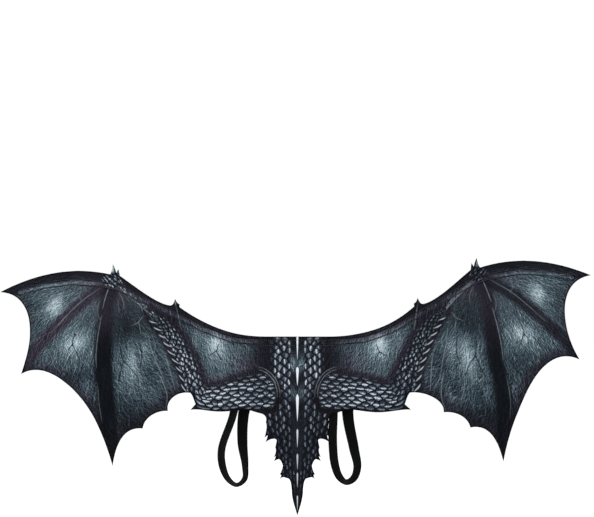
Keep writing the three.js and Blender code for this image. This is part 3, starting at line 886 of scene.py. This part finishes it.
def makeBand(name, middles, wides, thicks, material):  # a flat band with softly rounded edges
    top = [(w, 1 - 0.55 * abs(w) ** 6 - 0.05 * w * w) for w in np.linspace(1, -1, 9)]
    profile = np.array(top + [(w, -t) for w, t in reversed(top)])
    rings = middles[:, None] + wides[:, None] * profile[None, :, :1] + thicks[:, None] * profile[None, :, 1:]
    count, around = len(middles), len(profile)
    faces = [tuple(reversed(range(around))), tuple((count - 1) * around + i for i in range(around))]
    for r in range(count - 1):
        for c in range(around):
            n = (c + 1) % around
            faces.append((r * around + c, r * around + n, (r + 1) * around + n, (r + 1) * around + c))
    piece = newMesh(name, rings.reshape(-1, 3), faces, [material])
    travelled = travelledAlong(middles)
    half = np.linalg.norm(wides, axis=1)
    giveMap(piece, "cut", np.repeat(travelled, around), (half[:, None] * profile[None, :, 0]).ravel())
    turnOutwards(piece)
    piece.data.set_sharp_from_angle(angle=math.radians(50))
    print(name + ":", round(float(travelled[-1]), 3), "m long")
    return piece, float(travelled[-1])


tape = {
    "wide": lay["tapeWide"], "pick": 0.55, "end": 0.55, "rib": 1.5, "ribShade": 0.1, "ribHeight": 0.4,
    "tints": [(0.25, (4, 4, 5)), (0.55, (11, 11, 12)), (0.9, (24, 24, 27))],
}


def makeTape():
    line = spaced(tapeLine, 3.2)
    beside = leftOf(unit(np.gradient(line, axis=0))) * tape["wide"] / 2
    under = lay["clothThick"] / 2 + lay["seamGap"]
    middle = under + lay["tapeThick"] / 2
    top, low = (place(*(line + s * beside).T, middle) for s in (1, -1))
    outside, inside = (place(*line.T, middle + s * lay["tapeThick"] / 2) for s in (-1, 1))
    return makeBand("sewn_tape", (top + low) / 2, (top - low) / 2, (inside - outside) / 2,
                    ribbedMaterial("wovenTape", tape))


loop = {
    "wide": 25, "thick": 1.3, "pick": 0.8, "end": 0.7, "rib": 1.9, "ribShade": 0.14, "ribHeight": 1.2,
    "tints": [(0.2, (3, 3, 3)), (0.55, (6, 6, 7)), (0.95, (19, 19, 21))],
}
sewnTop = lay["tapeWide"] / 2 - 0.5
seat = lay["seamGap"] + loop["thick"] / 2
loopRoutes = {  # the band's middle: out, up, away from the cloth, and its turn in degrees
    "left": [
        (66, sewnTop, seat, 0), (66, -8, seat, 0), (77, -60, 2.6, 5), (96, -125, 10, 38),
        (98.5, -180, 13, 44), (94, -220, 16, 61), (95, -245, 19, 68), (109, -256, 21, 77),
        (124, -246, 21, 70), (134.5, -222, 20, 61), (136, -192, 18, 59), (115.5, -130, 15.5, 58),
        (104, -66, 8, 16), (92, -8, seat, 0), (92, sewnTop, seat, 0),
    ],
    "right": [
        (66, sewnTop, seat, 0), (66, -8, seat, 0), (65, -60, 3.6, 10), (64.5, -125, 11.5, 50),
        (63.5, -180, 14, 52), (67.5, -220, 16, 54), (75.5, -241, 18, 60), (88, -251, 19.5, 70),
        (101, -244, 19.5, 63), (107.5, -224, 18, 57), (101.5, -190, 15, 47), (90.5, -130, 10.5, 38),
        (92, -66, 4.5, 14), (92, -8, seat, 0), (92, sewnTop, seat, 0),
    ],
}


def makeLoop(side, material):
    sign = 1 if side == "right" else -1
    route = np.array(loopRoutes[side], float)
    middles = curveThrough(route[:, [0, 2, 1]] * (sign, 1, 1), 18)
    turns = np.radians(np.clip(curveThrough(route[:, 3:], 18)[:, 0], 0, 90)) * sign
    run = unit(np.gradient(middles, axis=0))
    flat = unit(np.cross(run, (0, 1, 0)))
    turned = flat * np.cos(turns)[:, None] - np.cross(run, flat) * np.sin(turns)[:, None]
    thick = np.cross(run, turned)
    return makeBand("arm_loop_" + side, middles * mm, turned * loop["wide"] / 2 * mm,
                    thick * loop["thick"] / 2 * mm, material)


def oneStitch():  # a flattened sphere, drawn out to a short thread
    bpy.ops.mesh.primitive_uv_sphere_add(segments=8, ring_count=5, radius=0.5)
    bpy.ops.object.mode_set(mode="EDIT")
    bpy.ops.transform.rotate(value=math.pi / 2, orient_axis="Y", center_override=(0, 0, 0))
    bpy.ops.object.mode_set(mode="OBJECT")
    pattern = bpy.context.object
    points = np.array([tuple(v.co) for v in pattern.data.vertices])
    faces = [tuple(p.vertices) for p in pattern.data.polygons]
    bpy.data.objects.remove(pattern)
    return points, faces


def stitchPoints(line, ends):  # the stitches' middles and directions along a line on the cut
    even = spaced(line, seam["apart"])
    even = even[np.abs(even[:, 0]) < ends]
    return (even[1:] + even[:-1]) / 2, unit(even[1:] - even[:-1])


def boxLines(out):  # the box with a cross that sews a loop's end, round a place on the tape
    wide, tall = seam["boxHalf"]
    corners = [(out - wide, -tall), (out + wide, -tall), (out + wide, tall), (out - wide, tall)]
    corners = [(x, seam["boxUp"] + y) for x, y in corners]
    return [np.array(line) for line in (corners + corners[:1], corners[::2], corners[1::2])]


def makeStitches():
    shape, shapeFaces = oneStitch()
    points, faces, kinds = [], [], []
    clothFace, tapeFace = -lay["clothThick"] / 2, lay["clothThick"] / 2 + lay["seamGap"] + lay["tapeThick"]
    strapFace = tapeFace + lay["seamGap"] + loop["thick"]
    runs = [(stitchLine(s * seam["rowAway"]), face, seam["ends"], kind)
            for s in (-1, 1) for face, kind in ((clothFace, 0), (tapeFace, 1))]
    runs += [(line, strapFace, seam["ends"], 1)
             for out in seam["boxesOut"] for side in (-1, 1) for line in boxLines(side * out)]
    for line, face, ends, kind in runs:
        for middle, run in zip(*stitchPoints(line, ends)):
            beside = np.array([-run[1], run[0]])
            flat = middle + shape[:, :1] * seam["length"] * run + shape[:, 1:2] * seam["wide"] * beside
            faces += [tuple(len(points) * len(shape) + i for i in f) for f in shapeFaces]
            points.append(np.column_stack([flat, face + math.copysign(seam["high"], face) * shape[:, 2]]))
            kinds += [kind] * len(shapeFaces)
    flat = np.vstack(points)
    # The outer thread's tint, paler than the black thread, is partly its colour and partly a painted sheen of
    # stitches catching the light.
    threads = [threadMaterial("outerThreadPaintedSheen", [(0.3, (38, 36, 44)), (0.7, (92, 90, 100))]),
               threadMaterial("blackThread", [(0.3, (12, 12, 13)), (0.7, (34, 34, 38))])]
    piece = newMesh("seam_stitches", place(flat[:, 0], flat[:, 1], flat[:, 2]), faces, threads)
    piece.data.polygons.foreach_set("material_index", kinds)
    turnOutwards(piece)
    print("stitches:", len(points))
    return piece


wings = makeCloth()
sewnTape, tapeLong = makeTape()
elastic = ribbedMaterial("ribbedElastic", loop)
stitches = makeStitches()
pieces = [(wings, "wing_cloth", "printed_cloth"), (sewnTape, "edge_tape", "binding_tape"),
          (stitches, None, "binding_tape")]
for side in ("left", "right"):
    band, bandLong = makeLoop(side, elastic)
    pieces.append((band, "strap_" + side, "elastic_strap"))
for piece, node, slot in pieces:
    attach(piece, body)
    if node:
        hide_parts(node)


# Studio: pale floor, white surroundings, soft lights, and the camera straight before the outer face.
studio = {
    "floorUp": -0.46, "floorSize": 40, "worldLight": 0.9,
    "camera": (-0.0007, -6.0, 0.1506), "photoWide": 594, "mmPerPixel": 1.79, "sensor": 36.0,
    "lights": [  # place, what it faces, size and power
        ((-1.9, -3.2, 2.4), (0, 0, -0.05), 1.8, 26),
        ((2.2, -3.0, 1.2), (0, 0, -0.05), 2.2, 14),
        ((0.6, 3.2, 2.0), (0, 0, -0.05), 2.4, 26),
    ],
}


def makeStudio():
    scene = bpy.context.scene
    scene.view_settings.view_transform = "Standard"
    world = bpy.data.worlds.new("studio")
    scene.world = world
    world.use_nodes = True
    tree = world.node_tree
    tree.nodes.clear()
    seen = put(tree, "Background", {0: (1, 1, 1, 1), 1: 1.0})
    light = put(tree, "Background", {0: (0.97, 0.985, 1, 1), 1: studio["worldLight"]})
    path = put(tree, "LightPath")
    both = put(tree, "MixShader", {0: path.outputs["Is Camera Ray"], 1: light.outputs[0], 2: seen.outputs[0]})
    tree.links.new(both.outputs[0], tree.nodes.new("ShaderNodeOutputWorld").inputs[0])

    bpy.ops.mesh.primitive_plane_add(size=studio["floorSize"], location=(0, 0, studio["floorUp"]))
    floor = bpy.context.object
    floor.name = "floor"
    bpy.ops.object.transform_apply(location=True)
    material, tree, shader = newMaterial("paleFloor")
    fill(tree, shader, {"Base Color": (0.95, 0.95, 0.95, 1), "Roughness": 0.9,
                        "Emission Color": (1, 1, 1, 1), "Emission Strength": 0.18})
    floor.data.materials.append(material)

    for spotAt, target, size, power in studio["lights"]:
        lamp = bpy.data.lights.new("softbox", "AREA")
        lamp.size, lamp.energy = size, power
        holder = bpy.data.objects.new("softbox", lamp)
        scene.collection.objects.link(holder)
        holder.location = spotAt
        holder.rotation_euler = (Vector(target) - Vector(spotAt)).to_track_quat("-Z", "Y").to_euler()

    lens = bpy.data.cameras.new("camera")
    lens.sensor_width = studio["sensor"]
    lens.lens = studio["sensor"] * -studio["camera"][1] / (studio["photoWide"] * studio["mmPerPixel"] * mm)
    camera = bpy.data.objects.new("camera", lens)
    scene.collection.objects.link(camera)
    camera.location = studio["camera"]
    camera.rotation_euler = (math.pi / 2, 0, 0)
    scene.camera = camera


makeStudio()
print("studio made")
